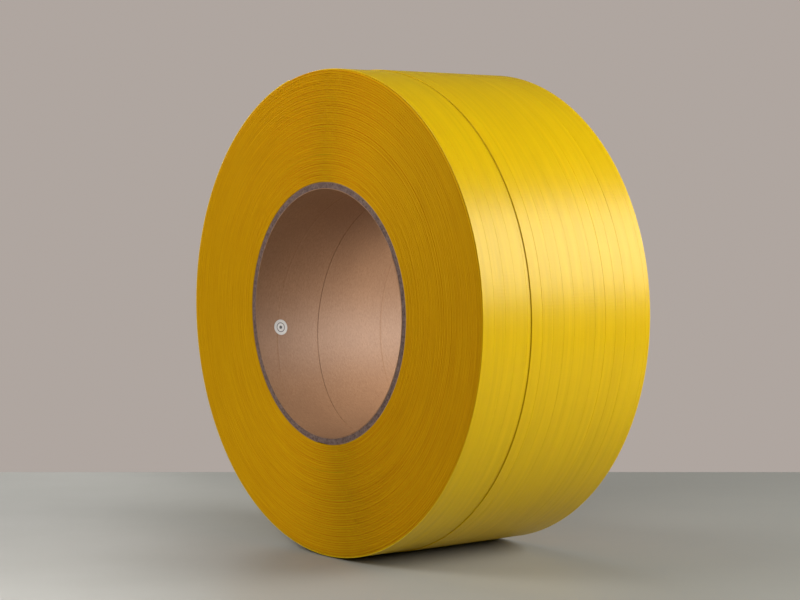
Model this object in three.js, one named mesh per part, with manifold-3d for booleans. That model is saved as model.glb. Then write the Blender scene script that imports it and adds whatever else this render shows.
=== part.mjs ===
// A coil of yellow polypropylene strapping on a spiral-wound paper core, standing on its rim.
// Millimetres. The core's axis is Y, +Z is up, and the origin is the centre of the coil.
//
// The strap is one length wound sideways in helical turns, layer upon layer. It is built in sections:
// its start on the core, the wound layers, the outermost full layer, the unfinished last layer, which
// stops short of the front face (-Y), and the free tail. Round surfaces are regular polygons with a
// facet at the top, the bottom and each side, and their radii are measured to the middle of a facet,
// so that nested pieces keep an even gap.

import * as THREE from 'three';
import Module from 'manifold-3d';
import { mergeVertices } from 'three/addons/utils/BufferGeometryUtils.js';

// Strap and coil
const STRAP_WIDTH = 12;
const STRAP_THICKNESS = 0.7;
const LAYER_GAP = 0.1;
const COIL_WIDTH = 195;
const COIL_RADIUS = 224; // over the unfinished last layer
const TURNS_ACROSS = 16;
const OUTER_LAYER_ZERO = 114.4; // clock angle where a turn's low edge meets the front face, in degrees
const LAST_LAYER_ZERO = -62; // the same, if the last layer went on as far as the front face
const TAIL_CLOCK = 336 + 3 * 360; // where the tail leaves the coil, counted from there through whole turns
const TAIL_LENGTH = 115;
const TAIL_GAP = 0.4;
const TIP_WIDTH = 1; // where a turn tapers off flush with a face

// Core
const CORE_INNER_RADIUS = 114;
const CORE_OUTER_RADIUS = 120;
const CORE_RECESS = 0.5; // of each end of the core inside the coil's faces
const CORE_GAP = 0.2; // between the core and the strap
const FACING_THICKNESS = 0.4; // of the kraft liner and the outer wrap
const BOARD_PLIES = 6;
const GLUE_LINE = 0.1;
const PAPER_PITCH = 124.4; // the helix pitch of the paper webs
const PAPER_BUTT_GAP = 0.4; // where a web meets its own edge
const LINER_SEAM = { clock: 187.7, y: -50.1 };
const WRAP_SEAM = { clock: 40, y: -20 };

// Tapes and sticker
const TAPE_THICKNESS = 0.1;
const TAPE_CLEARANCE = 0.05;
const TAPE_OVERHANG = 9; // beyond each edge of the strap
const TAPE_RAMP = 0.8; // where a tape steps down over an edge
const TAIL_TAPE_ON = 42; // length on the strap
const TAIL_TAPE_OFF = 36; // length beyond the strap's end
const START_CLOCK = 20;
const START_LENGTH = 90;
const START_EDGE_Y = -78;
const START_TAPE_LENGTH = 50;
const POCKET_CLEARANCE = 0.3;
const STICKER_RADIUS = 7.5;
const STICKER_THICKNESS = 0.15;
const STICKER = { clock: 260.2, y: -69.6 };
const STICKER_SIDES = 24;

const FACETS = 48;

// Worked out
const RAD = Math.PI / 180;
const FACET_ANGLE = 360 / FACETS;
const FACE_Y = COIL_WIDTH / 2;
const CORE_Y = FACE_Y - CORE_RECESS;
const TURN_PITCH = COIL_WIDTH / TURNS_ACROSS;
const LAYER_PITCH = STRAP_THICKNESS + LAYER_GAP;
const LAST_LAYER_INNER = COIL_RADIUS - STRAP_THICKNESS;
const OUTER_LAYER_INNER = LAST_LAYER_INNER - LAYER_PITCH;
const OUTER_LAYER_OUTER = OUTER_LAYER_INNER + STRAP_THICKNESS;
const WOUND_OUTER = OUTER_LAYER_INNER - LAYER_GAP;
const WOUND_INNER = CORE_OUTER_RADIUS + CORE_GAP;
const TAIL_TRAVEL = (TURN_PITCH * (TAIL_CLOCK - LAST_LAYER_ZERO)) / 360;
const BOARD_SPACE = CORE_OUTER_RADIUS - CORE_INNER_RADIUS - 2 * FACING_THICKNESS;
const BOARD_THICKNESS = (BOARD_SPACE - (BOARD_PLIES + 1) * GLUE_LINE) / BOARD_PLIES;

const manifold = await Module();
manifold.setup();
const group = new THREE.Group();

/** A point at a clock angle, in degrees from the top (+Z) towards +X, on the polygon of radius r. */
function pointAt(r, y, clock) {
  const fromFacet = clock - FACET_ANGLE * Math.round(clock / FACET_ANGLE);
  const reach = r / Math.cos(fromFacet * RAD);
  return [reach * Math.sin(clock * RAD), y, reach * Math.cos(clock * RAD)];
}

/** The polygon's corners between two clock angles, with the ends themselves. */
function stationsBetween(start, end, extra = []) {
  const stations = [start, ...extra, end];
  const first = Math.floor(start / FACET_ANGLE) + 0.5;
  for (let k = first; k * FACET_ANGLE < end; k += 1) {
    const corner = k * FACET_ANGLE;
    if (stations.every((s) => Math.abs(s - corner) > 0.02) && corner > start) stations.push(corner);
  }
  return stations.sort((a, b) => a - b);
}

function geometryFrom(points, triangles) {
  const geometry = new THREE.BufferGeometry();
  geometry.setAttribute('position', new THREE.Float32BufferAttribute(points.flat(), 3));
  geometry.setIndex(triangles.flat());
  return geometry;
}

/** The side faces that join successive sections of `size` points each. */
function sideFaces(sections, size, closed) {
  const faces = [];
  const last = closed ? sections : sections - 1;
  for (let i = 0; i < last; i += 1) {
    const here = i * size;
    const next = ((i + 1) % sections) * size;
    for (let j = 0; j < size; j += 1) {
      const k = (j + 1) % size;
      faces.push([here + j, here + k, next + k], [here + j, next + k, next + j]);
    }
  }
  return faces;
}

/** A solid swept round the axis. sectionAt(clock) gives its [r, y] corners, anticlockwise in (y, r). */
function sweep(sectionAt, stations) {
  const points = stations.flatMap((clock) => sectionAt(clock).map(([r, y]) => pointAt(r, y, clock)));
  const size = sectionAt(stations[0]).length;
  const faces = sideFaces(stations.length, size, false);
  const capAt = (clock) => {
    const outline = sectionAt(clock).map(([r, y]) => new THREE.Vector2(y, r));
    return THREE.ShapeUtils.triangulateShape(outline, []);
  };
  const end = (stations.length - 1) * size;
  faces.push(...capAt(stations[0]).map(([a, b, c]) => [c, b, a]));
  faces.push(...capAt(stations.at(-1)).map(([a, b, c]) => [end + a, end + b, end + c]));
  return geometryFrom(points, faces);
}

/** A whole ring of rectangular section. */
function ring(inner, outer, halfWidth) {
  const points = [];
  for (let i = 0; i < FACETS; i += 1) {
    const clock = (i + 0.5) * FACET_ANGLE;
    rectangle(inner, outer, -halfWidth, halfWidth).forEach(([r, y]) => points.push(pointAt(r, y, clock)));
  }
  return geometryFrom(points, sideFaces(FACETS, 4, true));
}

function rectangle(inner, outer, lowY, highY) {
  return [[inner, lowY], [inner, highY], [outer, highY], [outer, lowY]];
}

/**
 * A band wound in a helix and trimmed flush with both ends, at y = -limit and y = limit. Its low edge
 * travels from y = -limit at zeroClock, one pitch a turn, clockwise if hand is 1.
 */
function helicalBand({ inner, thickness, width, pitch, hand, zeroClock, limit, firstTravel }) {
  const clockAt = (travel) => zeroClock + (hand * 360 * travel) / pitch;
  const travelAt = (clock) => (hand * pitch * (clock - zeroClock)) / 360;
  const ends = [firstTravel ?? TIP_WIDTH - width, 2 * limit - TIP_WIDTH].map(clockAt);
  const [start, end] = ends.sort((a, b) => a - b);
  const bends = [0, 2 * limit - width].map(clockAt).filter((clock) => clock > start && clock < end);
  const sectionAt = (clock) => {
    const low = Math.max(travelAt(clock) - limit, -limit);
    const high = Math.min(travelAt(clock) - limit + width, limit);
    return rectangle(inner, inner + thickness, low, high);
  };
  return sweep(sectionAt, stationsBetween(start, end, bends));
}

function strapLayer(inner, hand, zeroClock, firstTravel) {
  return helicalBand({
    inner,
    thickness: STRAP_THICKNESS,
    width: STRAP_WIDTH,
    pitch: TURN_PITCH,
    hand,
    zeroClock,
    limit: FACE_Y,
    firstTravel,
  });
}

/** A paper web wound edge to edge, whose butt seam passes through the given point. */
function paperWeb(inner, seam) {
  return helicalBand({
    inner,
    thickness: FACING_THICKNESS,
    width: PAPER_PITCH - PAPER_BUTT_GAP,
    pitch: PAPER_PITCH,
    hand: 1,
    zeroClock: seam.clock - (360 * (seam.y + CORE_Y)) / PAPER_PITCH,
    limit: CORE_Y,
  });
}

/** The tail's low edge, which carries on the edge of the last layer. */
function tailEdge(clock) {
  return -FACE_Y + (TURN_PITCH * (clock - LAST_LAYER_ZERO)) / 360;
}

function degreesAlong(length, radius) {
  return length / radius / RAD;
}

const TAIL_ROOT = TAIL_CLOCK - degreesAlong(TAIL_GAP, COIL_RADIUS);
const TAIL_TIP = TAIL_ROOT - degreesAlong(TAIL_LENGTH, COIL_RADIUS);

function strapTail() {
  const sectionAt = (clock) => {
    const low = tailEdge(clock);
    return rectangle(LAST_LAYER_INNER, COIL_RADIUS, low, low + STRAP_WIDTH);
  };
  return sweep(sectionAt, stationsBetween(TAIL_TIP, TAIL_ROOT));
}

/** A strip of tape that drapes over steps: `drape` lists the [r, y] points of the surface below it. */
function tapeSection(drape) {
  const under = drape.map(([r, y]) => [r + TAPE_CLEARANCE, y]);
  const over = under.map(([r, y]) => [r + TAPE_THICKNESS, y]);
  return [...under, ...over.reverse()];
}

/** Holds the tail down: it lies on the tail and the turn beside it, and steps down to the full layer. */
function tailTape() {
  const onTail = TAIL_TIP + degreesAlong(TAIL_TAPE_ON, COIL_RADIUS);
  const offTail = TAIL_TIP - degreesAlong(TAIL_TAPE_OFF, COIL_RADIUS);
  const pastTip = TAIL_TIP - degreesAlong(TAPE_RAMP, COIL_RADIUS);
  const sectionAt = (clock) => {
    const low = tailEdge(clock);
    const high = low + STRAP_WIDTH;
    const pathLevel = clock > pastTip ? COIL_RADIUS : OUTER_LAYER_OUTER;
    return tapeSection([
      [OUTER_LAYER_OUTER, low - TAPE_OVERHANG],
      [OUTER_LAYER_OUTER, low - TAPE_RAMP],
      [pathLevel, low],
      [pathLevel, high - TAPE_RAMP],
      [COIL_RADIUS, high],
      [COIL_RADIUS, high + TAPE_OVERHANG],
    ]);
  };
  const tipEdge = TAIL_TIP - degreesAlong(TAPE_CLEARANCE, COIL_RADIUS);
  return sweep(sectionAt, stationsBetween(offTail, onTail, [pastTip, tipEdge]));
}

const START_END = START_CLOCK + degreesAlong(START_LENGTH, CORE_OUTER_RADIUS);
const START_INNER = CORE_OUTER_RADIUS + LAYER_GAP;
const START_OUTER = START_INNER + STRAP_THICKNESS;

function strapStart() {
  const section = rectangle(START_INNER, START_OUTER, START_EDGE_Y, START_EDGE_Y + STRAP_WIDTH);
  return sweep(() => section, stationsBetween(START_CLOCK, START_END));
}

/** Fixes the strap's inner end to the core. */
function startTape() {
  const middle = (START_CLOCK + START_END) / 2;
  const reach = degreesAlong(START_TAPE_LENGTH / 2, CORE_OUTER_RADIUS);
  const high = START_EDGE_Y + STRAP_WIDTH;
  const section = tapeSection([
    [CORE_OUTER_RADIUS, START_EDGE_Y - TAPE_OVERHANG],
    [CORE_OUTER_RADIUS, START_EDGE_Y - TAPE_RAMP],
    [START_OUTER, START_EDGE_Y],
    [START_OUTER, high],
    [CORE_OUTER_RADIUS, high + TAPE_RAMP],
    [CORE_OUTER_RADIUS, high + TAPE_OVERHANG],
  ]);
  return sweep(() => section, stationsBetween(middle - reach, middle + reach));
}

/** The space that the strap's inner end and its tape take up under the first wound layer. */
function startPocket() {
  const margin = degreesAlong(POCKET_CLEARANCE, CORE_OUTER_RADIUS);
  const reach = TAPE_OVERHANG + POCKET_CLEARANCE;
  const inner = CORE_OUTER_RADIUS;
  const outer = START_OUTER + TAPE_CLEARANCE + TAPE_THICKNESS + POCKET_CLEARANCE;
  const section = rectangle(inner, outer, START_EDGE_Y - reach, START_EDGE_Y + STRAP_WIDTH + reach);
  return sweep(() => section, stationsBetween(START_CLOCK - margin, START_END + margin));
}

function solidOf(geometry) {
  const merged = mergeVertices(geometry);
  const mesh = new manifold.Mesh({
    numProp: 3,
    vertProperties: Float32Array.from(merged.attributes.position.array),
    triVerts: Uint32Array.from(merged.index.array),
  });
  return new manifold.Manifold(mesh);
}

function geometryOf(solid) {
  const mesh = solid.getMesh();
  const geometry = new THREE.BufferGeometry();
  geometry.setAttribute('position', new THREE.Float32BufferAttribute(mesh.vertProperties, 3));
  geometry.setIndex(Array.from(mesh.triVerts));
  return geometry;
}

function woundStrap() {
  const wound = solidOf(ring(WOUND_INNER, WOUND_OUTER, FACE_Y));
  return geometryOf(wound.subtract(solidOf(startPocket())));
}

/** A round sticker that follows the core's inside wall. */
function coreSticker() {
  const levels = [CORE_INNER_RADIUS - GLUE_LINE, CORE_INNER_RADIUS - GLUE_LINE - STICKER_THICKNESS];
  const points = levels.map((r) => pointAt(r, STICKER.y, STICKER.clock));
  for (let i = 0; i < STICKER_SIDES; i += 1) {
    const turn = (2 * Math.PI * i) / STICKER_SIDES;
    const y = STICKER.y + STICKER_RADIUS * Math.cos(turn);
    const clock = STICKER.clock + degreesAlong(STICKER_RADIUS * Math.sin(turn), CORE_INNER_RADIUS);
    levels.forEach((r) => points.push(pointAt(r, y, clock)));
  }
  const faces = [];
  for (let i = 0; i < STICKER_SIDES; i += 1) {
    const here = 2 + 2 * i;
    const next = 2 + 2 * ((i + 1) % STICKER_SIDES);
    faces.push([0, next, here], [1, here + 1, next + 1]);
    faces.push([here, next + 1, here + 1], [here, next, next + 1]);
  }
  return geometryFrom(points, faces);
}

function add(name, geometry, color, roughness) {
  geometry.computeVertexNormals();
  const material = new THREE.MeshStandardMaterial({ color, roughness, metalness: 0 });
  const mesh = new THREE.Mesh(geometry, material);
  mesh.name = name;
  group.add(mesh);
}

function addCore() {
  add('core_liner', paperWeb(CORE_INNER_RADIUS, LINER_SEAM), '#b08560', 0.85);
  for (let i = 0; i < BOARD_PLIES; i += 1) {
    const inner = CORE_INNER_RADIUS + FACING_THICKNESS + GLUE_LINE + i * (BOARD_THICKNESS + GLUE_LINE);
    add(`core_ply_${i + 1}`, ring(inner, inner + BOARD_THICKNESS, CORE_Y), '#8a7b70', 0.95);
  }
  add('core_wrap', paperWeb(CORE_OUTER_RADIUS - FACING_THICKNESS, WRAP_SEAM), '#a07a58', 0.9);
  add('core_sticker', coreSticker(), '#e9e9e4', 0.6);
}

function addStrap() {
  add('strap_start', strapStart(), '#dcb60f', 0.4);
  add('start_tape', startTape(), '#d9c79a', 0.7);
  add('strap_wound', woundStrap(), '#c8950c', 0.5);
  add('strap_outer_layer', strapLayer(OUTER_LAYER_INNER, -1, OUTER_LAYER_ZERO), '#dcb80c', 0.35);
  add('strap_last_layer', strapLayer(LAST_LAYER_INNER, 1, LAST_LAYER_ZERO, TAIL_TRAVEL), '#e0bc10', 0.35);
  add('strap_tail', strapTail(), '#e0bc10', 0.35);
  add('tail_tape', tailTape(), '#d9c79a', 0.7);
}

addCore();
addStrap();

export default group;
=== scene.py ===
"""Looks of a coil of yellow plastic strapping, built round its CAD frame.

Lengths are in millimetres, and in metres for the studio. A clock angle is in degrees from the top (+Z)
towards +X, and the coil's axis is Y. The strap is wound in helical turns. A layer's hand is 1 where its
turns travel along +Y as the clock angle grows, and -1 where they travel the other way.
"""

import math

import bmesh
import bpy
import numpy as np
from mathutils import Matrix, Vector

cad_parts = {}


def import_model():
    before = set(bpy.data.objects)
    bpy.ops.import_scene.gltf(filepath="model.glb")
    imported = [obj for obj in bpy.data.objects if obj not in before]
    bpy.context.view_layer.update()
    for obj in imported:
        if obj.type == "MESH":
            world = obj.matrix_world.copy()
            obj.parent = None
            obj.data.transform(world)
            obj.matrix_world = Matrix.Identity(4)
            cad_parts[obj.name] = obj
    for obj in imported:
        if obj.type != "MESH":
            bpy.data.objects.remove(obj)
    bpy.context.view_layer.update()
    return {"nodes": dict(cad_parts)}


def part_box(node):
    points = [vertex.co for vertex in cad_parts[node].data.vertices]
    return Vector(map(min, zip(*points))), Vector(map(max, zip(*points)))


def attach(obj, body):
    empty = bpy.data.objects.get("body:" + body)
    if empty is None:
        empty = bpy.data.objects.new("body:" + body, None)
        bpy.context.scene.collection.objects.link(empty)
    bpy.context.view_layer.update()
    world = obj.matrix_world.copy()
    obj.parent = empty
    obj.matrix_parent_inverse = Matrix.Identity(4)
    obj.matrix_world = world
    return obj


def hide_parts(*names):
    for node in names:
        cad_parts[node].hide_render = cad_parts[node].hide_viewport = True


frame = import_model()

MM = 0.001


def top_of(node):
    """The radius of a round node, measured to the middle of its top facet."""
    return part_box(node)[1].z / MM


# Strap, as in the CAD
TURNS_ACROSS = 16
STRAP_WIDTH = 12.0
STRAP_THICKNESS = 0.7
LAYER_PITCH = 0.8
FACE_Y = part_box("strap_wound")[1].y / MM
TURN_PITCH = 2 * FACE_Y / TURNS_ACROSS
COIL_RADIUS = top_of("strap_last_layer")
OUTER_LAYER_ZERO = 114.4
LAST_LAYER_ZERO = -62.0
TAIL_CLOCK = 336.0 + 3 * 360
TAIL_LENGTH = 115.0
TAIL_GAP = 0.4
TIP_WIDTH = 1.0

# Core, as in the CAD
BOARD_PLIES = 6
PAPER_PITCH = 124.4
FACING_THICKNESS = 0.4
CORE_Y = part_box("core_ply_1")[1].y / MM
LINER_OUTER = top_of("core_liner")
WRAP_OUTER = top_of("core_wrap")
LINER_SEAM = (187.7, -50.1)  # clock angle and y of a point on its butt seam
WRAP_SEAM = (40.0, -20.0)

# The layers lie a little inside the CAD's, so that uneven turns have play
WOUND_INNER = WRAP_OUTER + 0.2
WOUND_OUTER = COIL_RADIUS - 1.9
OUTER_LAYER_TOP = COIL_RADIUS - 1.1
LAST_LAYER_TOP = COIL_RADIUS - 0.25
EDGE_TURN_RAISE = 0.02  # of the last layer's first turn
RIM_ROUNDING = 6.0
RIM_DROP = 1.6  # of the faces at the rim

WELD_DISTANCE = 0.002
SHARP_ANGLE = 46

STATIONS = 256  # round the coil


def station_clocks(start, end):
    """Evenly spaced clock angles, both ends included, about STATIONS of them to a full turn."""
    count = max(3, int(round((end - start) * STATIONS / 360)) + 1)
    return np.linspace(start, end, count)


def full_circle(stations):
    """Evenly spaced clock angles all the way round, as a column."""
    return np.arange(stations)[:, None] * 360 / stations


def around(radius, y, clock):
    """The points at these radii, y and clock angles."""
    turn = np.radians(clock)
    return np.stack(np.broadcast_arrays(radius * np.sin(turn), y, radius * np.cos(turn)), axis=-1)


def degrees_along(length, radius=COIL_RADIUS):
    """The angle that a length takes up round the coil."""
    return math.degrees(length / radius)


def ring_wave(seed, size, orders):
    """A smooth seeded wave round the coil, which closes on itself."""
    rng = np.random.default_rng(seed)
    phases = rng.uniform(0, 2 * math.pi, len(orders))
    return lambda clock: size * sum(
        np.sin(order * np.radians(clock) + phase) / math.sqrt(len(orders))
        for order, phase in zip(orders, phases)
    )


def strap_wave(seed, size, shortest, longest, count=7):
    """A smooth seeded wave along the strap, in degrees of unwrapped clock angle."""
    rng = np.random.default_rng(seed)
    lengths = rng.uniform(shortest, longest, count)
    phases = rng.uniform(0, 2 * math.pi, count)
    return lambda clock: size * sum(
        np.sin(2 * math.pi * clock / length + phase) / math.sqrt(count)
        for length, phase in zip(lengths, phases)
    )


# Meshes


def mesh_piece(name, points, faces, material, slot, body="coil", replaces=(), depth=None):
    """
    A closed smooth mesh, welded where points meet, with its faces turned outwards. The depth of each
    point below its layer's edge, in millimetres, is kept for its material, which paints shade into the gaps
    from it.
    """
    mesh = bpy.data.meshes.new(name)
    mesh.from_pydata((np.reshape(points, (-1, 3)) * MM).tolist(), [], faces)
    if depth is not None:
        mesh.attributes.new("gap_depth", "FLOAT", "POINT").data.foreach_set("value", np.ravel(depth))
    work = bmesh.new()
    work.from_mesh(mesh)
    bmesh.ops.remove_doubles(work, verts=work.verts, dist=WELD_DISTANCE * MM)
    bmesh.ops.recalc_face_normals(work, faces=work.faces)
    for face in work.faces:
        face.smooth = True
    work.to_mesh(mesh)
    work.free()
    mesh.set_sharp_from_angle(angle=math.radians(SHARP_ANGLE))
    mesh.materials.append(material)
    piece = bpy.data.objects.new(name, mesh)
    bpy.context.scene.collection.objects.link(piece)
    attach(piece, body)
    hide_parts(*replaces)
    return piece


def grid_faces(rows, columns, closed):
    """Quads that join each loop of points to the next one, as a list."""
    i = np.arange(rows if closed else rows - 1)[:, None]
    j = np.arange(columns)[None, :]
    here, there = i * columns, ((i + 1) % rows) * columns
    across = (j + 1) % columns
    return np.stack([here + j, here + across, there + across, there + j], axis=-1).reshape(-1, 4).tolist()


def swept_piece(name, radius, y, clock, closed, **settings):
    """A piece swept round the axis: one loop of (radius, y) points for each station."""
    points = around(radius, y, clock)
    rows, columns = points.shape[:2]
    faces = grid_faces(rows, columns, closed)
    if not closed:
        faces.append(list(range(columns)))
        faces.append(list(range((rows - 1) * columns, rows * columns)))
    return mesh_piece(name, points, faces, **settings)


# Wound layers

WOUND_LAYERS = int(round((WOUND_OUTER - WOUND_INNER) / LAYER_PITCH))
WOUND_PITCH = (WOUND_OUTER - WOUND_INNER) / WOUND_LAYERS
BANDS = 4
BAND_GAP = 0.02  # between neighbouring bands
TIGHT_GAP = 0.28  # at the mouth of the gap between two layers
LOOSE_GAP = 0.50
LOOSE_EVERY = 2.6  # layers
GAP_DEPTH_FOR_WIDTH = 5.5
SHOULDER = 0.1  # width of the rounding of a strap's edge
SHOULDER_DROP = 0.06
LAYER_RECESS = 0.08  # of the layers' edges behind the face, and what varies it
LAYER_DRIFT = 0.05
LAYER_SCATTER = 0.07
LEAST_SWING = 0.03  # of a layer's edge on its way round
SWING_SCATTER = 0.06
POCKET_CLEARANCE = 0.2  # round the strap's inner end and its tape
POCKET_RAMP = 0.1
POCKET_CLEARANCE_ANGLE = 2
POCKET_DEPTH = 1.3


def gap_widths(layer):
    """The gaps under these layers, of which every second or third one is loose."""
    beat = np.clip(np.cos(2 * math.pi * layer / LOOSE_EVERY), 0, 1)
    uneven = 0.5 + 0.5 * np.sin(layer * layer * 1.7)
    return TIGHT_GAP + (LOOSE_GAP - TIGHT_GAP) * beat * (0.6 + 0.4 * uneven)


def rim_drop(radius):
    """How far the faces fall back towards the rim, on an elliptical round."""
    share = np.clip((radius - OUTER_LAYER_TOP + RIM_ROUNDING) / RIM_ROUNDING, 0, 1)
    return RIM_DROP * (1 - np.sqrt(1 - share ** 2))


def layer_faces(radius, depth, layer, clock, seed):
    """How far out the edges of the layers reach along y, with each layer a little in or out of line."""
    rng = np.random.default_rng(seed)
    count = int(layer.max()) + 1
    drift = np.convolve(rng.normal(0, 1, count + 8), np.ones(9) / 3, mode="valid")
    recess = LAYER_RECESS + LAYER_DRIFT * np.abs(drift) + LAYER_SCATTER * rng.random(count)
    swing = LEAST_SWING + SWING_SCATTER * rng.random(count)
    order = rng.integers(1, 4, count)
    phase = rng.uniform(0, 2 * math.pi, count)
    wave = swing[layer] * (1 + np.sin(order[layer] * np.radians(clock) + phase[layer])) / 2
    return FACE_Y - recess[layer] - wave - rim_drop(radius) - depth


def wound_band(index, material):
    """A quarter of the wound layers: a ring whose two faces are the stacked edges of the strap."""
    numbers = np.arange(WOUND_LAYERS * index // BANDS, WOUND_LAYERS * (index + 1) // BANDS)
    below, above = gap_widths(numbers) / 2, gap_widths(numbers + 1) / 2
    end = np.full_like(above, WOUND_PITCH)
    across = np.stack([below, below + SHOULDER, end - above - SHOULDER, end - above, end], axis=1)
    flat = np.zeros_like(below)
    shoulder = np.full_like(below, SHOULDER_DROP)
    drop = np.stack([shoulder, flat, flat, shoulder, 2 * above * GAP_DEPTH_FOR_WIDTH], axis=1)
    if index == BANDS - 1:
        drop[-1, -1] = 2 * SHOULDER_DROP
    depth = drop.ravel()
    radius = (WOUND_INNER + numbers[:, None] * WOUND_PITCH + across).ravel()
    radius[-1] -= BAND_GAP
    layer = np.repeat(numbers, across.shape[1])
    clock = full_circle(STATIONS)
    front = -layer_faces(radius, depth, layer, clock, seed=11)
    back = layer_faces(radius, depth, layer, clock, seed=12)
    wall_y, wall_radius = inner_wall(clock, radius[0], index == 0)
    # The depth below each layer's edge, which the edge material turns into painted shade in the gaps
    loop_depth = np.tile(np.concatenate([depth, depth[::-1], np.zeros(wall_y.shape[1])]), (STATIONS, 1))
    face_radius = np.tile(np.concatenate([radius, radius[::-1]]), (STATIONS, 1))
    loop_radius = np.hstack([face_radius, wall_radius])
    loop_y = np.hstack([front, back[:, ::-1], wall_y])
    return swept_piece(
        f"wound_band_{index + 1}", loop_radius, loop_y, clock, closed=True,
        material=material, slot="strap_edges", replaces=["strap_wound"], depth=loop_depth,
    )


def inner_wall(clock, radius, has_pocket):
    """The bore of a band, with room in the first one for the strap's inner end and its tape."""
    low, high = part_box("start_tape")
    reach = np.array([POCKET_CLEARANCE + POCKET_RAMP, POCKET_CLEARANCE])
    edge_y = np.concatenate([high.y / MM + reach, low.y / MM - reach[::-1]])
    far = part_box("strap_start")[1]
    end_radius = radius + STRAP_THICKNESS
    start = math.degrees(math.acos(min(1, far.z / MM / end_radius))) - POCKET_CLEARANCE_ANGLE
    end = math.degrees(math.asin(min(1, far.x / MM / end_radius))) + POCKET_CLEARANCE_ANGLE
    inside = (clock > start) & (clock < end) & has_pocket
    depth = np.where(inside, POCKET_DEPTH, 0.0) * np.array([0, 1, 1, 0])
    return np.tile(edge_y, (len(clock), 1)), radius + depth


# Helical layers

STRAP_EDGE_ROUND = 0.06
FREE_EDGE_ROUND = 0.45
STRAP_CROWN = 0.015
UNDERSIDE_INSET = 0.1
SHARED_WANDER = 0.22  # of all the seams of a layer together
OWN_WANDER = 0.05  # of each seam
GAPE_VARIATION = 0.05
HEIGHT_VARIATION = 0.022
TILT_VARIATION = 0.03
SEAM_GAP = 0.02
NARROWEST_GAP = 0.015
WIDEST_GAP = 0.5
LOOSE_SEAMS = (5.39, 11.25, 13.24)  # in the last layer, counted in turns from its zero
LOOSE_SEAM_GAP = 0.2  # what they gape more than the rest
LOOSE_SEAM_LENGTH = 150  # degrees
TAIL_STATIONS = 40
EDGE_TURN_FADE = 0.25  # a power, low for a fade that comes late


def edge_points(rounding):
    """From a strap's edge inwards: mm in from the edge and mm below the top, on a quarter round."""
    corner = 1 - math.sqrt(0.5)
    inwards = np.stack([0 * rounding, corner * rounding, rounding, rounding + 4 * STRAP_EDGE_ROUND], axis=1)
    below = np.stack([rounding, corner * rounding, 0 * rounding, 0 * rounding], axis=1)
    return inwards, below


def ribbon(low, high, top_low, top_high, low_rounding=STRAP_EDGE_ROUND):
    """The radius and y of a strap's section at each station, from its edges and their levels."""
    low_in, low_below = edge_points(np.broadcast_to(low_rounding, low.shape))
    high_in, high_below = edge_points(np.full_like(high, STRAP_EDGE_ROUND))
    middle = np.zeros((len(low), 3))
    share = np.array([0, 0, 0, 0, 0.3, 0.5, 0.7, 1, 1, 1, 1])  # across the strap, edge points at both ends
    inset = np.hstack([low_in, middle, -high_in[:, ::-1]])
    drop = np.hstack([low_below, middle - STRAP_CROWN, high_below[:, ::-1]])
    width = (high - low)[:, None]
    y = low[:, None] + share * width + inset * np.minimum(1, width)
    radius = top_low[:, None] + (top_high - top_low)[:, None] * share - drop
    under_y = np.stack([high - UNDERSIDE_INSET, low + UNDERSIDE_INSET], axis=1)
    under_radius = np.stack([top_high, top_low], axis=1) - STRAP_THICKNESS
    return np.hstack([radius, under_radius]), np.hstack([y, under_y])


class Layer:
    """A layer of helical turns: where its seams run, how wide they gape and how high the turns lie."""

    def __init__(self, hand, zero, top, front_limit, back_limit, seed, loose_seams=()):
        self.hand, self.zero, self.top, self.loose_seams = hand, zero, top, loose_seams
        self.front_limit, self.back_limit = front_limit, back_limit
        self.shared = ring_wave(seed, SHARED_WANDER, (1, 2, 3, 5))
        self.own = strap_wave(seed + 1, OWN_WANDER, 60, 500)
        self.gape = strap_wave(seed + 2, GAPE_VARIATION, 50, 400)
        self.height = strap_wave(seed + 3, HEIGHT_VARIATION, 90, 700)
        self.tilt = strap_wave(seed + 4, TILT_VARIATION, 90, 700)

    def seam(self, clock):
        travel = self.hand * TURN_PITCH * (clock - self.zero) / 360
        return travel - FACE_Y + self.shared(clock) + self.own(clock)

    def gap(self, clock):
        away = [(clock - self.zero - 360 * turns) / LOOSE_SEAM_LENGTH for turns in self.loose_seams]
        loose = sum(np.exp(-share ** 2) for share in away)
        return np.clip(SEAM_GAP + self.gape(clock), NARROWEST_GAP, WIDEST_GAP) + LOOSE_SEAM_GAP * loose

    def edges(self, clock):
        beyond = clock + 360 * self.hand
        low = self.seam(clock) + self.gap(clock) / 2
        high = self.seam(beyond) - self.gap(beyond) / 2
        return low, high

    def levels(self, clock):
        height = self.top + self.height(clock)
        tilt = self.tilt(clock)
        return height - tilt / 2, height + tilt / 2

    def clocks(self, first_travel=TIP_WIDTH - STRAP_WIDTH + 2 * RIM_DROP):
        last_travel = 2 * FACE_Y - TIP_WIDTH - 2 * RIM_DROP
        ends = [self.zero + self.hand * 360 * travel / TURN_PITCH for travel in (first_travel, last_travel)]
        return station_clocks(*sorted(ends))

    def sections(self, clock):
        low, high = self.edges(clock)
        top_low, top_high = self.levels(clock)
        low = np.clip(low, -self.front_limit, self.back_limit - TIP_WIDTH / 2)
        high = np.clip(high, -self.front_limit + TIP_WIDTH / 2, self.back_limit)
        return low, high, top_low, top_high


FULL_LAYER_LIMIT = FACE_Y - 0.7 * RIM_DROP  # between the faces' drop at its underside and at its top
FULL_LAYER = Layer(-1, OUTER_LAYER_ZERO, OUTER_LAYER_TOP, FULL_LAYER_LIMIT, FULL_LAYER_LIMIT, seed=21)
LAST_LAYER = Layer(
    1, LAST_LAYER_ZERO, LAST_LAYER_TOP, FACE_Y, FACE_Y - RIM_DROP, seed=31, loose_seams=LOOSE_SEAMS
)
TAIL_TRAVEL = TURN_PITCH * (TAIL_CLOCK - LAST_LAYER_ZERO) / 360
TAIL_ROOT = TAIL_CLOCK - degrees_along(TAIL_GAP)
TAIL_TIP = TAIL_ROOT - degrees_along(TAIL_LENGTH)


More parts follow.
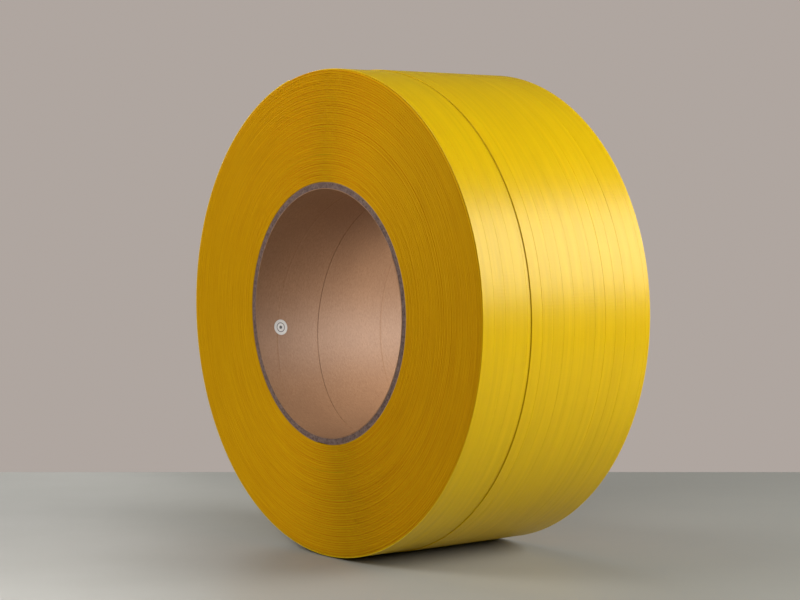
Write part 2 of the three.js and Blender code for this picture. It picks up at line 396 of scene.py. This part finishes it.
def edge_turn_share(clock):
    """1 along the last layer's first turn, whose edge is free, and 0 from the next one on."""
    return np.clip(1 - (clock - TAIL_CLOCK) / 360, 0, 1) ** EDGE_TURN_FADE


def free_edge(clock):
    """The rounding of the last layer's low edge, which is worn on the first turn."""
    return STRAP_EDGE_ROUND + (FREE_EDGE_ROUND - STRAP_EDGE_ROUND) * edge_turn_share(clock)


def full_layer(material):
    """The last full layer, one ribbon from face to face."""
    clock = FULL_LAYER.clocks()
    radius, y = ribbon(*FULL_LAYER.sections(clock))
    return swept_piece(
        "outer_layer_turns", radius, y, clock[:, None], closed=False,
        material=material, slot="strap", replaces=["strap_outer_layer"],
    )


def last_layer(material):
    """The unfinished layer over it, from the tail's root to the back face."""
    clock = LAST_LAYER.clocks(TAIL_TRAVEL)
    low, high, top_low, top_high = LAST_LAYER.sections(clock)
    lift = EDGE_TURN_RAISE * edge_turn_share(clock)
    radius, y = ribbon(low, high, top_low + lift, top_high, free_edge(clock))
    return swept_piece(
        "last_layer_turns", radius, y, clock[:, None], closed=False,
        material=material, slot="strap", replaces=["strap_last_layer"],
    )


def strap_tail(material):
    """The strap's free end, which lifts."""
    clock = np.linspace(TAIL_TIP, TAIL_ROOT, TAIL_STATIONS)
    low, high, top_low, top_high = LAST_LAYER.sections(clock)
    radius, y = ribbon(low, high, top_low + EDGE_TURN_RAISE, top_high, free_edge(clock))
    return swept_piece(
        "tail_end", radius, y, clock[:, None], closed=False,
        material=material, slot="strap", body="tail", replaces=["strap_tail"],
    )


# Tape on the tail

TAPE_OVERHANG = 9.0
TAPE_THICKNESS = 0.1
TAPE_CLEARANCE = 0.03
TAPE_ON_TAIL = 42.0
TAPE_PAST_TAIL = 36.0
TAPE_OVER_LAYER = 0.06  # what it lies above the uneven full layer
TAPE_OVER_TURN = 0.08  # and above the turn beside the tail
TAPE_UNDER_LIMIT = COIL_RADIUS + 0.02
TIP_RAMP = 1.2  # where it comes down past the tail's tip, and beside either edge
LOW_EDGE_RAMP = 1.0
HIGH_EDGE_RAMP = 0.8
PINKING = 0.7
PINKING_TEETH = 15
PINKING_FADE = 12  # a power, high for teeth that keep to the ends
CREPE = 0.022
CREPE_WAVES = ((900, 9), (700, 4))  # radians along the tape and across it


def tape_height(clock, y):
    """The level under the tape: the tail and the turn beside it, or the full layer."""
    low, high, top_low, top_high = LAST_LAYER.sections(clock)
    low, high = low[:, None], high[:, None]
    past_tip = degrees_along(TIP_RAMP)
    on_tail = np.clip((clock[:, None] - TAIL_TIP + past_tip) / past_tip, 0, 1)
    tail_level = top_low[:, None] + EDGE_TURN_RAISE
    beside_low = np.clip((y - low + LOW_EDGE_RAMP) / LOW_EDGE_RAMP, 0, 1)
    beside_high = np.clip((y - high + HIGH_EDGE_RAMP) / HIGH_EDGE_RAMP, 0, 1)
    bed = FULL_LAYER.top + TAPE_OVER_LAYER
    path = bed + (tail_level - bed) * on_tail * beside_low
    return path + (LAST_LAYER.top + TAPE_OVER_TURN - path) * beside_high


def tail_tape(material):
    """A strip of crepe tape, with pinked ends, pressed down over the tail's tip."""
    rows, columns = 170, 64
    start = TAIL_TIP - degrees_along(TAPE_PAST_TAIL)
    end = TAIL_TIP + degrees_along(TAPE_ON_TAIL)
    clock = np.linspace(start, end, rows)
    across = np.linspace(0, 1, columns)
    low, high = LAST_LAYER.edges(clock)
    y = (low - TAPE_OVERHANG)[:, None] + (high - low + 2 * TAPE_OVERHANG)[:, None] * across
    pinking = degrees_along(PINKING) * np.abs((across * PINKING_TEETH) % 1 - 0.5) * 2
    share = np.linspace(0, 1, rows)[:, None]
    jag = clock[:, None] + pinking * (1 - 2 * share) * (np.abs(share - 0.5) * 2) ** PINKING_FADE
    crepe = CREPE * math.prod(np.sin(along * share + slant * across) for along, slant in CREPE_WAVES)
    under = np.minimum(tape_height(clock, y) + TAPE_CLEARANCE, TAPE_UNDER_LIMIT)
    over = under + TAPE_THICKNESS + crepe
    points = np.stack([around(under, y, jag), around(over, y, jag)])
    return mesh_piece(
        "tail_tape_strip", points, sheet_faces(rows, columns),
        material=material, slot="tape", body="tail", replaces=["tail_tape"],
    )


def sheet_faces(rows, columns):
    """Faces of a thin sheet: two grids of points, one above the other, and the strip round their rim."""
    i, j = np.meshgrid(np.arange(rows - 1), np.arange(columns - 1), indexing="ij")
    corner = (i * columns + j).ravel()
    lower = np.stack([corner, corner + 1, corner + columns + 1, corner + columns], axis=1)
    lift = rows * columns
    top_edge = list(range(columns))
    right_edge = [r * columns + columns - 1 for r in range(rows)]
    bottom_edge = [(rows - 1) * columns + c for c in reversed(range(columns))]
    left_edge = [r * columns for r in reversed(range(rows))]
    rim = top_edge[:-1] + right_edge[:-1] + bottom_edge[:-1] + left_edge[:-1]
    sides = [[a, b, b + lift, a + lift] for a, b in zip(rim, rim[1:] + rim[:1])]
    return lower.tolist() + (lower + lift).tolist() + sides


# Core

PAPER_BUTT_GAP = 0.5
WEB_SLIVER = 3  # the width that is on the core at a web's first and last station
LINER_SEAM_LIFT = 0.1
LINER_SEAM_WIDTH = 0.6
LINER_WAVE = 0.036
LINER_WAVE_SLANT = 1.5  # degrees a millimetre of y
LINER_MOST_LIFT = 0.3
PLY_SEAM_FROM_EDGE = 77.1
PLY_SEAM_SWELL = 0.22
PLY_SEAM_WIDTH = 0.6
WRAP_FRAY = 0.06
PLY_STATIONS = 720
PLY_GAP = 0.1
PLY_RECESS = 0.12
PLY_BEVEL = (0.14, 0.02, 0.0, 0.02, 0.14)  # from its inner to its outer radius
PLY_WAVE = 0.06
PLY_WAVE_OUT = 0.1  # how far out the waves may come
PLY_FUR = 0.11
STICKER_CLEARANCE = 0.25
STICKER_THICKNESS = 0.13
STICKER_LIFT = 0.1


def web_zero(seam):
    """The clock angle at which a web's low edge is at the front end, from a point on its butt seam."""
    return seam[0] - 360 * (seam[1] + CORE_Y) / PAPER_PITCH


def web_edges(clock, seam):
    """The low and high edges of a helical paper web whose butt seam passes through a point."""
    low = PAPER_PITCH * (clock - web_zero(seam)) / 360 - CORE_Y
    return low, low + PAPER_PITCH - PAPER_BUTT_GAP


def web_clocks(seam):
    """Stations along a web, for as long as some of its width is on the core."""
    start = web_zero(seam) - 360 * (PAPER_PITCH - WEB_SLIVER) / PAPER_PITCH
    end = web_zero(seam) + 360 * (2 * CORE_Y - WEB_SLIVER) / PAPER_PITCH
    return station_clocks(start, end)


def core_liner(material):
    """The inside web: its edges stand slightly proud, and a board seam behind it shows as a faint ridge."""
    clock = web_clocks(LINER_SEAM)
    low = web_edges(clock, LINER_SEAM)[0]
    width = PAPER_PITCH - PAPER_BUTT_GAP
    # Points across the web, close together at its edges and at the ridge
    ridge = PLY_SEAM_FROM_EDGE + np.array([-2.0, -1.0, -0.6, -0.3, 0.0, 0.3, 0.6, 1.0, 2.0])
    lips = np.array([0.0, 0.25, 0.8, 2.0])
    along = np.sort(np.concatenate([np.linspace(4, width - 4, 36), ridge, lips, width - lips]))
    y = np.clip(low[:, None] + along, -CORE_Y, CORE_Y)
    lip = np.exp(-along / LINER_SEAM_WIDTH) + np.exp(-(width - along) / LINER_SEAM_WIDTH)
    swell = PLY_SEAM_SWELL * np.exp(-(((along - PLY_SEAM_FROM_EDGE) / PLY_SEAM_WIDTH) ** 2))
    waves = ring_wave(41, LINER_WAVE, (2, 3, 4, 7))(clock[:, None] + LINER_WAVE_SLANT * y)
    inner = LINER_OUTER - FACING_THICKNESS - LINER_SEAM_LIFT * lip - swell + waves
    inner = np.maximum(inner, LINER_OUTER - FACING_THICKNESS - LINER_MOST_LIFT)
    outer = np.full_like(inner, LINER_OUTER)
    radius = np.hstack([inner, outer[:, ::-1]])
    return swept_piece(
        "liner_web", radius, np.hstack([y, y[:, ::-1]]), clock[:, None], closed=False,
        material=material, slot="kraft_liner", replaces=["core_liner"],
    )


def core_wrap(material):
    """The web under the strap, its ends a little frayed."""
    clock = web_clocks(WRAP_SEAM)
    low, high = (np.clip(edge, -CORE_Y, CORE_Y) for edge in web_edges(clock, WRAP_SEAM))
    fray = WRAP_FRAY * (1 + ring_wave(43, 1.0, (17, 29, 43, 61))(clock))
    low, high = low + fray * (low <= -CORE_Y), high - fray * (high >= CORE_Y)
    y = np.stack([low, high, high, low], axis=1)
    inner = WRAP_OUTER - FACING_THICKNESS
    radius = np.tile([inner, inner, WRAP_OUTER, WRAP_OUTER], (len(clock), 1))
    return swept_piece(
        "wrap_web", radius, y, clock[:, None], closed=False,
        material=material, slot="kraft_wrap", replaces=["core_wrap"],
    )


def board_ply(index, material):
    """A chipboard ply, whose cut ends are furred and a little uneven."""
    node = f"core_ply_{index + 1}"
    outer = top_of(node)
    inner = outer - (WRAP_OUTER - LINER_OUTER - FACING_THICKNESS) / BOARD_PLIES + PLY_GAP
    clock = full_circle(PLY_STATIONS)
    rng = np.random.default_rng(50 + index)
    depth = np.linspace(inner, outer, len(PLY_BEVEL))
    orders = (3, 7, 13, 29, 53, 97)
    ends = []
    for side in range(2):
        coarse = ring_wave(60 + 2 * index + side, PLY_WAVE, orders)(clock)
        fur = PLY_FUR * rng.random((PLY_STATIONS, len(depth)))
        ends.append(CORE_Y - PLY_RECESS - np.array(PLY_BEVEL) - np.maximum(coarse, -PLY_WAVE_OUT) - fur)
    y = np.hstack([-ends[0], ends[1][:, ::-1]])
    radius = np.tile(np.concatenate([depth, depth[::-1]]), (PLY_STATIONS, 1))
    return swept_piece(
        f"board_ply_{index + 1}", radius, y, clock, closed=True,
        material=material, slot="chipboard", replaces=[node],
    )


def sticker(material):
    """A round paper sticker that follows the bore, its rim lifting a little."""
    low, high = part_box("core_sticker")
    middle_y = (low.y + high.y) / 2 / MM
    centre = Vector(((low.x + high.x) / 2, 0, (low.z + high.z) / 2)) / MM
    middle_clock = math.degrees(math.atan2(centre.x, centre.z))
    reach = (high.y - low.y) / 2 / MM
    base = LINER_OUTER - FACING_THICKNESS - STICKER_CLEARANCE
    rings, spokes = 8, 64
    share = np.linspace(0, 1, rings + 1)[1:][:, None]
    turn = np.linspace(0, 2 * math.pi, spokes, endpoint=False)
    y = middle_y + reach * share * np.cos(turn)
    clock = middle_clock + degrees_along(1, base) * reach * share * np.sin(turn)
    lift = STICKER_LIFT * share ** 6 * (1 + 0.8 * np.sin(turn + 1))
    sides = [base - lift, base - STICKER_THICKNESS - lift]
    points = [around(np.array([level[0, 0]]), middle_y, middle_clock) for level in sides]
    points += [around(level, y, clock).reshape(-1, 3) for level in sides]
    return mesh_piece(
        "sticker_disc", np.vstack(points), disc_faces(rings, spokes),
        material=material, slot="sticker", replaces=["core_sticker"],
    )


def disc_faces(rings, spokes):
    """Faces of a thin disc: its two centre points come first, then the rings of one side and the other."""
    count = rings * spokes
    faces = []
    for side in range(2):
        start = 2 + side * count
        for k in range(spokes):
            following = (k + 1) % spokes
            faces.append([side, start + k, start + following])
            for row in range(rings - 1):
                a, b = start + row * spokes, start + (row + 1) * spokes
                faces.append([a + k, a + following, b + following, b + k])
    rim = 2 + (rings - 1) * spokes
    for k in range(spokes):
        following = (k + 1) % spokes
        faces.append([rim + k, rim + following, rim + count + following, rim + count + k])
    return faces


# Materials


def node(tree, kind, inputs=None, **settings):
    """Adds a node, sets its properties, and sets or links its inputs."""
    added = tree.nodes.new("ShaderNode" + kind)
    for key, value in settings.items():
        setattr(added, key, value)
    for key, value in (inputs or {}).items():
        if isinstance(value, bpy.types.NodeSocket):
            tree.links.new(value, added.inputs[key])
        else:
            added.inputs[key].default_value = value
    return added


def new_material(name, **principled):
    """A material with one Principled shader, set as given."""
    material = bpy.data.materials.new(name)
    material.use_nodes = True
    tree = material.node_tree
    tree.nodes.clear()
    shader = node(tree, "BsdfPrincipled", principled)
    node(tree, "OutputMaterial", {"Surface": shader.outputs[0]})
    return material, tree, shader


def math_node(tree, operation, first, second=0.0, third=0.0):
    return node(tree, "Math", {0: first, 1: second, 2: third}, operation=operation).outputs[0]


def vector_node(tree, operation, first, second=(0.0, 0.0, 0.0)):
    return node(tree, "VectorMath", {0: first, 1: second}, operation=operation)


def object_place(tree):
    return node(tree, "TexCoord").outputs["Object"]


def stretched_noise(tree, place, stretch, detail=3.0, roughness=0.6, distortion=0.0):
    """Noise whose grain is 1 / stretch metres along each axis."""
    scaled = vector_node(tree, "MULTIPLY", place, stretch).outputs[0]
    settings = {
        "Vector": scaled, "Scale": 1.0, "Detail": detail, "Roughness": roughness, "Distortion": distortion,
    }
    return node(tree, "TexNoise", settings).outputs["Fac"]


def levels(tree, value, low, high, to_low=0.0, to_high=1.0):
    """Maps low and high to two new levels, and clips what lies past them."""
    settings = {"Value": value, "From Min": low, "From Max": high, "To Min": to_low, "To Max": to_high}
    return node(tree, "MapRange", settings, clamp=True).outputs[0]


def blend(tree, factor, first, second):
    """Mixes two colours. A Mix node has its colours at inputs 6 and 7 and at output 2."""
    mix = node(tree, "Mix", data_type="RGBA")
    sockets = {0: factor, 6: first, 7: second}
    for index, value in sockets.items():
        if isinstance(value, bpy.types.NodeSocket):
            tree.links.new(value, mix.inputs[index])
        else:
            mix.inputs[index].default_value = value
    return mix.outputs[2]


def bump(tree, height, distance, normal=None):
    """A bump whose height of 0 to 1 stands for this many millimetres."""
    inputs = {"Height": height, "Distance": distance * MM, "Strength": 1.0}
    if normal is not None:
        inputs["Normal"] = normal
    return node(tree, "Bump", inputs).outputs[0]


def colour(red, green, blue):
    return (red, green, blue, 1.0)


def grain_tangent(tree, place):
    """The direction round the coil's axis, in world space."""
    along = vector_node(tree, "CROSS_PRODUCT", place, (0.0, 1.0, 0.0)).outputs[0]
    settings = {"vector_type": "VECTOR", "convert_from": "OBJECT", "convert_to": "WORLD"}
    turned = node(tree, "VectorTransform", {"Vector": along}, **settings)
    return vector_node(tree, "NORMALIZE", turned.outputs[0]).outputs[0]


def clock_wave(tree, place, periods, slant=0.0):
    """A sine round the coil, from -1 to 1, with whole periods; slant is in radians a metre of y."""
    split = node(tree, "SeparateXYZ", {0: place})
    turn = math_node(tree, "ARCTAN2", split.outputs["X"], split.outputs["Z"])
    shift = math_node(tree, "MULTIPLY", split.outputs["Y"], slant)
    phase = math_node(tree, "MULTIPLY_ADD", turn, float(periods), shift)
    return math_node(tree, "SINE", phase)


CROSS_GRAIN_PERIODS = 469
WEAVE_PERIODS = 1200
WEAVE_SLANT = 5200.0  # radians a metre of y


def strap_material():
    """Drawn and finely embossed yellow plastic: silky, with streaks along the strap."""
    material, tree, shader = new_material(
        "yellow_strap",
        **{
            "IOR": 1.49, "Anisotropic": 0.6, "Anisotropic Rotation": 0.25, "Specular IOR Level": 0.4,
            "Specular Tint": colour(1.0, 0.95, 0.65), "Subsurface Weight": 0.6,
            "Subsurface Radius": (1.0, 1.0, 1.0), "Subsurface Scale": 1.2 * MM,
        },
    )
    place = object_place(tree)
    broad = stretched_noise(tree, place, (7.0, 260.0, 7.0), detail=4.0)
    fine = stretched_noise(tree, place, (24.0, 1700.0, 24.0), detail=2.0)
    cloud = stretched_noise(tree, place, (14.0, 30.0, 14.0), detail=3.0)
    deep, bright = colour(0.64, 0.415, 0.0005), colour(0.74, 0.485, 0.0005)
    body = blend(tree, levels(tree, broad, 0.3, 0.7), deep, bright)
    body = blend(tree, levels(tree, cloud, 0.35, 0.75, 0.0, 0.3), body, colour(0.60, 0.395, 0.0005))
    tree.links.new(body, shader.inputs["Base Color"])
    rough = math_node(tree, "MULTIPLY_ADD", fine, 0.14, 0.34)
    tree.links.new(rough, shader.inputs["Roughness"])
    cross = clock_wave(tree, place, CROSS_GRAIN_PERIODS)
    fading = stretched_noise(tree, place, (40.0, 60.0, 40.0), detail=2.0)
    cross = math_node(tree, "MULTIPLY", cross, levels(tree, fading, 0.45, 0.7))
    rising = clock_wave(tree, place, WEAVE_PERIODS, WEAVE_SLANT)
    falling = clock_wave(tree, place, WEAVE_PERIODS, -WEAVE_SLANT)
    weave = math_node(tree, "MULTIPLY", rising, falling)
    normal = bump(tree, broad, 0.05)
    normal = bump(tree, fine, 0.012, normal)
    normal = bump(tree, cross, 0.012, normal)
    normal = bump(tree, weave, 0.004, normal)
    tree.links.new(normal, shader.inputs["Normal"])
    tree.links.new(grain_tangent(tree, place), shader.inputs["Tangent"])
    return material


def edge_material():
    """The strap's stacked edges: deeper yellow and matt, each layer a little different, with painted shade
    in the gaps that turns dark red deeper in, standing in for their shade and for the light the plastic
    carries into them.
    """
    material, tree, shader = new_material(
        "strap_edges", **{"Roughness": 0.6, "IOR": 1.49, "Specular IOR Level": 0.02}
    )
    place = object_place(tree)
    flat = vector_node(tree, "MULTIPLY", place, (1.0, 0.0, 1.0)).outputs[0]
    reach = vector_node(tree, "LENGTH", flat).outputs["Value"]
    round_about = vector_node(tree, "NORMALIZE", flat).outputs[0]
    split = node(tree, "SeparateXYZ", {0: round_about})
    grain = node(tree, "CombineXYZ", {
        "X": math_node(tree, "MULTIPLY", split.outputs["X"], 3.0),
        "Y": math_node(tree, "MULTIPLY", reach, 1250.0),
        "Z": math_node(tree, "MULTIPLY", split.outputs["Z"], 3.0),
    }).outputs[0]
    settings = {"Vector": grain, "Scale": 1.0, "Detail": 3.0, "Roughness": 0.6}
    layer = node(tree, "TexNoise", settings).outputs["Fac"]
    speck = stretched_noise(tree, place, (900.0, 900.0, 900.0), detail=2.0)
    body = blend(tree, levels(tree, layer, 0.3, 0.72), colour(0.60, 0.30, 0.003), colour(0.72, 0.41, 0.004))
    body = blend(tree, levels(tree, speck, 0.6, 0.8, 0.0, 0.35), body, colour(0.5, 0.25, 0.004))
    depth = node(tree, "Attribute", attribute_name="gap_depth").outputs["Fac"]
    # Painted shade and glow: the walls of the gaps between layers turn dark red with their depth, standing
    # in for the shade in the gaps and the light that the plastic carries into them.
    body = blend(tree, levels(tree, depth, 0.3, 0.7), body, colour(0.72, 0.025, 0.001))
    tree.links.new(body, shader.inputs["Base Color"])
    tree.links.new(bump(tree, speck, 0.03), shader.inputs["Normal"])
    return material


def kraft_material(name, pale, dark, brush):
    """Brown kraft paper: long soft fibres, specks and a fine tooth."""
    material, tree, shader = new_material(name, **{"Roughness": 0.55, "IOR": 1.5, "Specular IOR Level": 0.5})
    place = object_place(tree)
    cloud = stretched_noise(tree, place, (26.0, 26.0, 26.0), detail=4.0)
    fibre = stretched_noise(tree, place, (380.0, 900.0, 380.0), detail=4.0, distortion=0.6)
    tooth = stretched_noise(tree, place, (2600.0, 2600.0, 2600.0), detail=2.0)
    body = blend(tree, levels(tree, fibre, 0.3, 0.7), dark, pale)
    body = blend(tree, levels(tree, cloud, 0.35, 0.75, 0.0, 0.35), body, brush)
    body = blend(tree, levels(tree, tooth, 0.62, 0.8, 0.0, 0.4), body, colour(0.2, 0.11, 0.06))
    tree.links.new(body, shader.inputs["Base Color"])
    normal = bump(tree, fibre, 0.05)
    normal = bump(tree, tooth, 0.03, normal)
    tree.links.new(normal, shader.inputs["Normal"])
    return material


def chipboard_material():
    """Grey recycled board, mottled with pale and dark fibres."""
    material, tree, shader = new_material("grey_chipboard", **{"Roughness": 0.92, "Specular IOR Level": 0.2})
    place = object_place(tree)
    patch = stretched_noise(tree, place, (420.0, 420.0, 420.0), detail=4.0, roughness=0.7)
    fleck = stretched_noise(tree, place, (1500.0, 1500.0, 1500.0), detail=2.0)
    body = blend(tree, levels(tree, patch, 0.35, 0.65), colour(0.09, 0.055, 0.05), colour(0.23, 0.16, 0.14))
    body = blend(tree, levels(tree, fleck, 0.62, 0.75), body, colour(0.36, 0.28, 0.25))
    tree.links.new(body, shader.inputs["Base Color"])
    tree.links.new(bump(tree, fleck, 0.15), shader.inputs["Normal"])
    return material


MARK_RING_RADIUS = 4.3
MARK_RING_WIDTH = 0.7
MARK_DOT_RADIUS = 1.6


def sticker_material():
    """Coated white paper with a plain grey ring and dot."""
    material, tree, shader = new_material("white_sticker", **{"Roughness": 0.5, "Specular IOR Level": 0.4})
    place = object_place(tree)
    low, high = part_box("core_sticker")
    away = vector_node(tree, "DISTANCE", place, (low + high) / 2).outputs["Value"]
    ring = math_node(tree, "COMPARE", away, MARK_RING_RADIUS * MM, MARK_RING_WIDTH / 2 * MM)
    dot = math_node(tree, "LESS_THAN", away, MARK_DOT_RADIUS * MM)
    mark = math_node(tree, "MAXIMUM", ring, dot)
    mottle = stretched_noise(tree, place, (500.0, 500.0, 500.0))
    paper = blend(tree, levels(tree, mottle, 0.3, 0.7), colour(0.72, 0.72, 0.71), colour(0.82, 0.82, 0.81))
    tree.links.new(blend(tree, mark, paper, colour(0.09, 0.09, 0.1)), shader.inputs["Base Color"])
    tree.links.new(bump(tree, mottle, 0.02), shader.inputs["Normal"])
    return material


def tape_material():
    """Cream crepe paper tape."""
    material, tree, shader = new_material("crepe_tape", **{"Roughness": 0.62, "Specular IOR Level": 0.4})
    place = object_place(tree)
    crease = stretched_noise(tree, place, (1100.0, 220.0, 1100.0), detail=3.0, distortion=0.4)
    cloud = stretched_noise(tree, place, (60.0, 60.0, 60.0))
    body = blend(tree, levels(tree, cloud, 0.3, 0.7), colour(0.60, 0.44, 0.21), colour(0.70, 0.54, 0.28))
    body = blend(tree, levels(tree, crease, 0.48, 0.7, 0.0, 0.65), body, colour(0.42, 0.29, 0.13))
    tree.links.new(body, shader.inputs["Base Color"])
    tree.links.new(bump(tree, crease, 0.3), shader.inputs["Normal"])
    return material


def repaint(node_name, material):
    """Gives a CAD node that stays as it is a finished material."""
    for place in frame["nodes"][node_name].material_slots:
        place.material = material


# Studio, in metres

CAMERA_AZIMUTH = 52.19
CAMERA_ELEVATION = 2.96
CAMERA_DISTANCE = 1.8525
CAMERA_LENS = 88.29  # millimetres, and the sensor's width too
CAMERA_SENSOR = 36.0
CAMERA_CLIP_END = 50.0
AIM_RIGHT = -0.0082
AIM_UP = 0.0094
FLOOR_WIDTH = 2.0
FLOOR_BEHIND = 0.5
FLOOR_BEFORE = 0.9
WARM = (1.0, 0.98, 0.95)
WARMER = (1.0, 0.97, 0.93)


def from_angles(azimuth, elevation):
    """The direction from the coil towards a camera at these angles; azimuth 0 looks along +Y."""
    a, e = math.radians(azimuth), math.radians(elevation)
    return Vector((math.sin(a) * math.cos(e), -math.cos(a) * math.cos(e), math.sin(e)))


def camera():
    """A long lens at the camera's angles, aimed close to the coil's centre."""
    back = from_angles(CAMERA_AZIMUTH, CAMERA_ELEVATION)
    right = Vector((0, 0, 1)).cross(back).normalized()
    up = back.cross(right)
    aim = right * AIM_RIGHT + up * AIM_UP
    data = bpy.data.cameras.new("camera")
    data.sensor_width = CAMERA_SENSOR
    data.lens = CAMERA_LENS
    data.clip_end = CAMERA_CLIP_END
    view = bpy.data.objects.new("camera", data)
    bpy.context.scene.collection.objects.link(view)
    view.location = aim + back * CAMERA_DISTANCE
    view.rotation_euler = back.to_track_quat("Z", "Y").to_euler()
    bpy.context.scene.camera = view


def softbox(name, direction, distance, width, height, power, tint):
    """A rectangular light that faces the coil's centre."""
    data = bpy.data.lights.new(name, "AREA")
    data.shape = "RECTANGLE"
    data.size, data.size_y = width, height
    data.energy = power
    data.color = tint
    light = bpy.data.objects.new(name, data)
    bpy.context.scene.collection.objects.link(light)
    towards = Vector(direction).normalized()
    light.location = towards * distance
    light.rotation_euler = towards.to_track_quat("Z", "Y").to_euler()
    light.visible_camera = False


def lights():
    softbox("key", (0.70, 0.61, 0.37), 2.0, 1.4, 1.1, 54.0, WARM)
    softbox("high_fill", (-0.16, -0.83, 0.44), 0.95, 0.6, 0.45, 6.2, WARMER)
    softbox("side_fill", (0.72, -0.60, 0.35), 2.0, 1.0, 0.8, 5.2, WARMER)
    softbox("far_fill", (-0.92, 0.12, 0.38), 2.0, 1.2, 0.9, 15.0, WARM)


def world():
    """A dim room, with a plain pale backdrop for the camera."""
    sky = bpy.data.worlds.new("studio")
    bpy.context.scene.world = sky
    sky.use_nodes = True
    tree = sky.node_tree
    tree.nodes.clear()
    room = node(tree, "Background", {"Color": colour(0.9, 0.95, 1.0), "Strength": 0.07})
    backdrop = node(tree, "Background", {"Color": colour(0.43, 0.38, 0.35), "Strength": 1.0})
    seen = node(tree, "LightPath").outputs["Is Camera Ray"]
    either = node(tree, "MixShader", {0: seen, 1: room.outputs[0], 2: backdrop.outputs[0]})
    node(tree, "OutputWorld", {"Surface": either.outputs[0]})


def floor():
    """A plain pale floor, satin."""
    material, tree, shader = new_material(
        "pale_floor", **{"Base Color": colour(0.33, 0.33, 0.305), "Specular IOR Level": 0.2}
    )
    noise = stretched_noise(tree, object_place(tree), (9.0, 9.0, 9.0))
    tree.links.new(levels(tree, noise, 0.3, 0.7, 0.42, 0.5), shader.inputs["Roughness"])
    middle = from_angles(CAMERA_AZIMUTH, 0) * (FLOOR_BEFORE - FLOOR_BEHIND) / 2
    bpy.ops.mesh.primitive_plane_add(size=1, location=(middle.x, middle.y, -COIL_RADIUS * MM))
    plane = bpy.context.active_object
    plane.name = "floor"
    plane.scale = (FLOOR_WIDTH, FLOOR_BEFORE + FLOOR_BEHIND, 1)
    plane.rotation_euler.z = math.radians(CAMERA_AZIMUTH)
    plane.data.materials.append(material)


bpy.context.scene.view_settings.view_transform = "Standard"
camera()
lights()
world()
floor()

strap = strap_material()
edges = edge_material()
liner_paper = kraft_material(
    "liner_kraft", colour(0.435, 0.245, 0.132), colour(0.315, 0.162, 0.08), colour(0.29, 0.152, 0.08)
)
wrap_paper = kraft_material(
    "wrap_kraft", colour(0.36, 0.22, 0.14), colour(0.28, 0.16, 0.1), colour(0.25, 0.15, 0.1)
)
board = chipboard_material()
tape = tape_material()

for band in range(BANDS):
    wound_band(band, edges)
full_layer(strap)
last_layer(strap)
strap_tail(strap)
tail_tape(tape)
core_liner(liner_paper)
core_wrap(wrap_paper)
for ply in range(BOARD_PLIES):
    board_ply(ply, board)
sticker(sticker_material())
repaint("strap_start", strap)
repaint("start_tape", tape)
